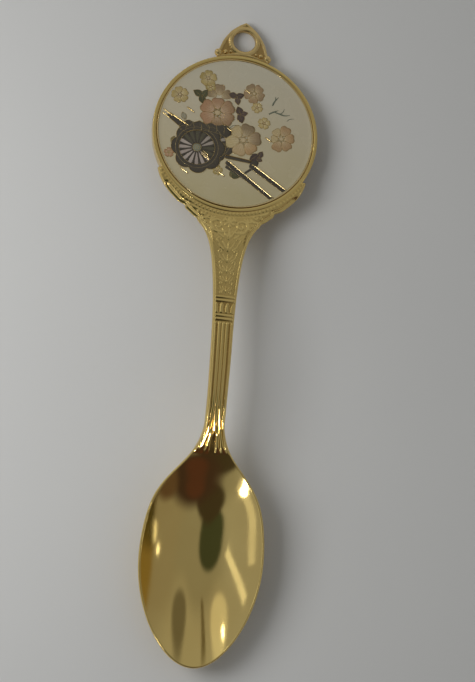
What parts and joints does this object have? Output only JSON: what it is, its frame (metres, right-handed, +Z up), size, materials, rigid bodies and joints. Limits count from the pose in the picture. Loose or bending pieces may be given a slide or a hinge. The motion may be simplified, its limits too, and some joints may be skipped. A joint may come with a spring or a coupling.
{
  "type": "souvenir spoon",
  "caption": "Gold-plated demitasse souvenir spoon with a pointed oval bowl, slim relief handle, round enamelled flower-cart medallion and a hanging eye.",
  "frame": {"origin": "middle of the footprint, on the surface that the belly of the bowl and the far edge of the head rest on", "axes": "+Y along the spoon from the bowl's tip to the hanging eye, +Z up out of the bowl, +X across"},
  "size_m": [0.0294, 0.114, 0.0101],
  "materials": {
    "gold_plate": "mirror polished gold plate, pressed relief on the handle",
    "gold_cast": "gold plated casting, polished",
    "solder": "gold plated solder, satin",
    "adhesive": "cured clear-amber glue, matte",
    "gold_pan": "gold plated, bright lip",
    "gold_wire": "bright gold",
    "enamel_cream": "cream white enamel, glossy",
    "enamel_dark": "brown black enamel, glossy",
    "enamel_coral": "coral enamel, glossy",
    "enamel_peach": "peach enamel, glossy",
    "enamel_yellow": "straw yellow enamel, glossy",
    "enamel_plum": "plum brown enamel, glossy",
    "enamel_green": "dark olive green enamel, glossy",
    "enamel_sprig": "grey green enamel, glossy"
  },
  "bodies": {
    "root": {"spoon_blank": "gold_plate", "hanging_loop": "gold_cast", "loop_solder": "solder", "medallion_adhesive": "adhesive", "medallion_pan": "gold_pan", "enamel_ground": "enamel_cream", "gold_wires": "gold_wire", "cart_wheel_front": "enamel_dark", "cart_wheel_rear": "enamel_dark", "cart_shafts": "enamel_dark", "cart_bed": "enamel_dark", "blossoms_coral": "enamel_coral", "blossoms_peach": "enamel_peach", "blossoms_yellow": "enamel_yellow", "leaves_plum": "enamel_plum", "leaves_green": "enamel_green", "sprigs": "enamel_sprig"}
  },
  "joints": []
}
